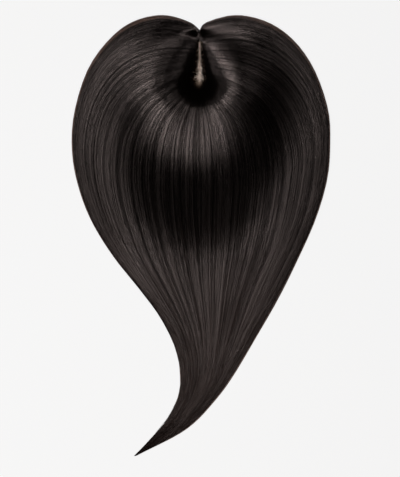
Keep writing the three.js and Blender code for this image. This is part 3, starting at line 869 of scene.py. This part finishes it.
def stray_hairs():
    """Hairs along both sides of the outline, each one straying out of it a little over part of its length."""
    random = np.random.default_rng(21)
    side = np.where(random.random((STRAYS, 1)) < 0.5, 0, 1)
    first = random.uniform(*STRAY_FROM, (STRAYS, 1))
    last = np.minimum(1, first + random.uniform(*STRAY_LENGTH, (STRAYS, 1)))
    step = np.linspace(0, 1, STRAY_STEPS)[None, :]
    along = first + (last - first) * step
    inset = random.uniform(0, STRAY_INSET, (STRAYS, 1)) * np.sin(math.pi * (0.15 + 0.85 * step)) ** 2 + LEAST_INSET
    paths = hair_points(abs(side - inset), along, -STRAY_LIFT)
    inner = hair_points(abs(side - inset - 0.02), along)
    outward = (paths - inner)[..., :2]
    outward /= np.linalg.norm(outward, axis=-1, keepdims=True) + 1e-9
    stray = random.uniform(0, STRAY_REACH, (STRAYS, 1)) * np.sin(math.pi * step) * smooth((1 - along) * 9)
    paths[..., :2] += outward * stray[..., None]
    paths[..., 2] = np.maximum(paths[..., 2], OVER_TABLE)
    taper = np.minimum(1, 4 * np.minimum(step + 0.06, 1 - step + 0.03))
    return paths, STRAY_RADIUS * taper * random.uniform(*STRAY_THICKNESS, (STRAYS, 1))


points, faces, uv = tubes(*stray_hairs(), HAIR_SIDES, 0, STRAYS)
make_piece("stray_hair", points, faces, fine_hair_material("stray_hair", STRAYS, STRAY_COLOURS), "dark_hair", uv)

# The studio: a pale table that the topper lies on and that glows evenly, so that it takes hardly a shadow; soft
# square lights high on the left, far on the left and on the left of the tail, weaker ones on the right and over the
# parting, and a camera that looks straight down. The table is kept out of the hair's reflections.
PICTURE = (0.3584, 0.4274)
PICTURE_MIDDLE = (-0.9 * MM, -2.46 * MM)
LENS = 400
SENSOR = 36
TABLE_HALF = 12.0
TABLE_GLOW = 0.865
TABLE_COLOUR = (0.9, 0.9, 0.9, 1)
TABLE_SHADE = (0.25, 0.25, 0.25, 1)
TABLE_ROUGHNESS = 0.9
TABLE_GRAIN_SCALE = 600
TABLE_GRAIN_STRENGTH, TABLE_GRAIN_DEPTH = 0.1, 0.05 * MM
LIGHT_DISTANCE = 1.6
LIGHT_COLOUR = (1, 0.98, 0.97)


def table_material():
    """A matt grained sheet that glows evenly."""
    material, tree, shader = new_material("table")
    place = add_node(tree, "ShaderNodeTexCoord").outputs["Object"]
    grain = add_noise(tree, place, TABLE_GRAIN_SCALE, 2)
    add_bumps(tree, shader, grain, TABLE_GRAIN_STRENGTH, TABLE_GRAIN_DEPTH)
    shader.inputs["Base Color"].default_value = TABLE_SHADE
    shader.inputs["Roughness"].default_value = TABLE_ROUGHNESS
    shader.inputs["Specular IOR Level"].default_value = 0
    shader.inputs["Emission Color"].default_value = TABLE_COLOUR
    shader.inputs["Emission Strength"].default_value = TABLE_GLOW
    return material


def add_light(name, tilt, turn, size, power):
    """A square soft light that shines on the topper's middle from tilt off the vertical, turned from +X to +Y."""
    light = bpy.data.lights.new(name, "AREA")
    light.shape = "SQUARE"
    light.size = size
    light.energy = power
    light.color = LIGHT_COLOUR
    lamp = bpy.data.objects.new(name, light)
    tilt, turn = math.radians(tilt), math.radians(turn)
    lamp.location = (
        LIGHT_DISTANCE * math.sin(tilt) * math.cos(turn),
        LIGHT_DISTANCE * math.sin(tilt) * math.sin(turn),
        LIGHT_DISTANCE * math.cos(tilt),
    )
    lamp.rotation_euler = (0, tilt, turn)
    lamp.visible_camera = False
    bpy.context.scene.collection.objects.link(lamp)


table_mesh = bpy.data.meshes.new("table")
corners = [(x * TABLE_HALF, y * TABLE_HALF, 0) for x, y in ((-1, -1), (1, -1), (1, 1), (-1, 1))]
table_mesh.from_pydata(corners, [], [(0, 1, 2, 3)])
table_mesh.materials.append(table_material())
table = bpy.data.objects.new("table", table_mesh)
bpy.context.scene.collection.objects.link(table)
table.visible_glossy = False

add_light("key", 38, 182, 0.5, 1.6)
add_light("high", 15, 198, 0.45, 7.4)
add_light("tail", 25, 225, 0.5, 4.2)
add_light("fill", 27, 20, 0.5, 0.9)
add_light("parting", 16, 95, 0.4, 1.3)

world = bpy.data.worlds.new("studio")
world.use_nodes = True
world.node_tree.nodes["Background"].inputs["Color"].default_value = (1, 1, 1, 1)
world.node_tree.nodes["Background"].inputs["Strength"].default_value = 0
bpy.context.scene.world = world
bpy.context.scene.view_settings.view_transform = "Standard"

camera_data = bpy.data.cameras.new("camera")
camera_data.lens = LENS
camera_data.sensor_width = SENSOR
camera_data.clip_end = 100
camera = bpy.data.objects.new("camera", camera_data)
camera.location = (*PICTURE_MIDDLE, PICTURE[1] * LENS / SENSOR)
bpy.context.scene.collection.objects.link(camera)
bpy.context.scene.camera = camera
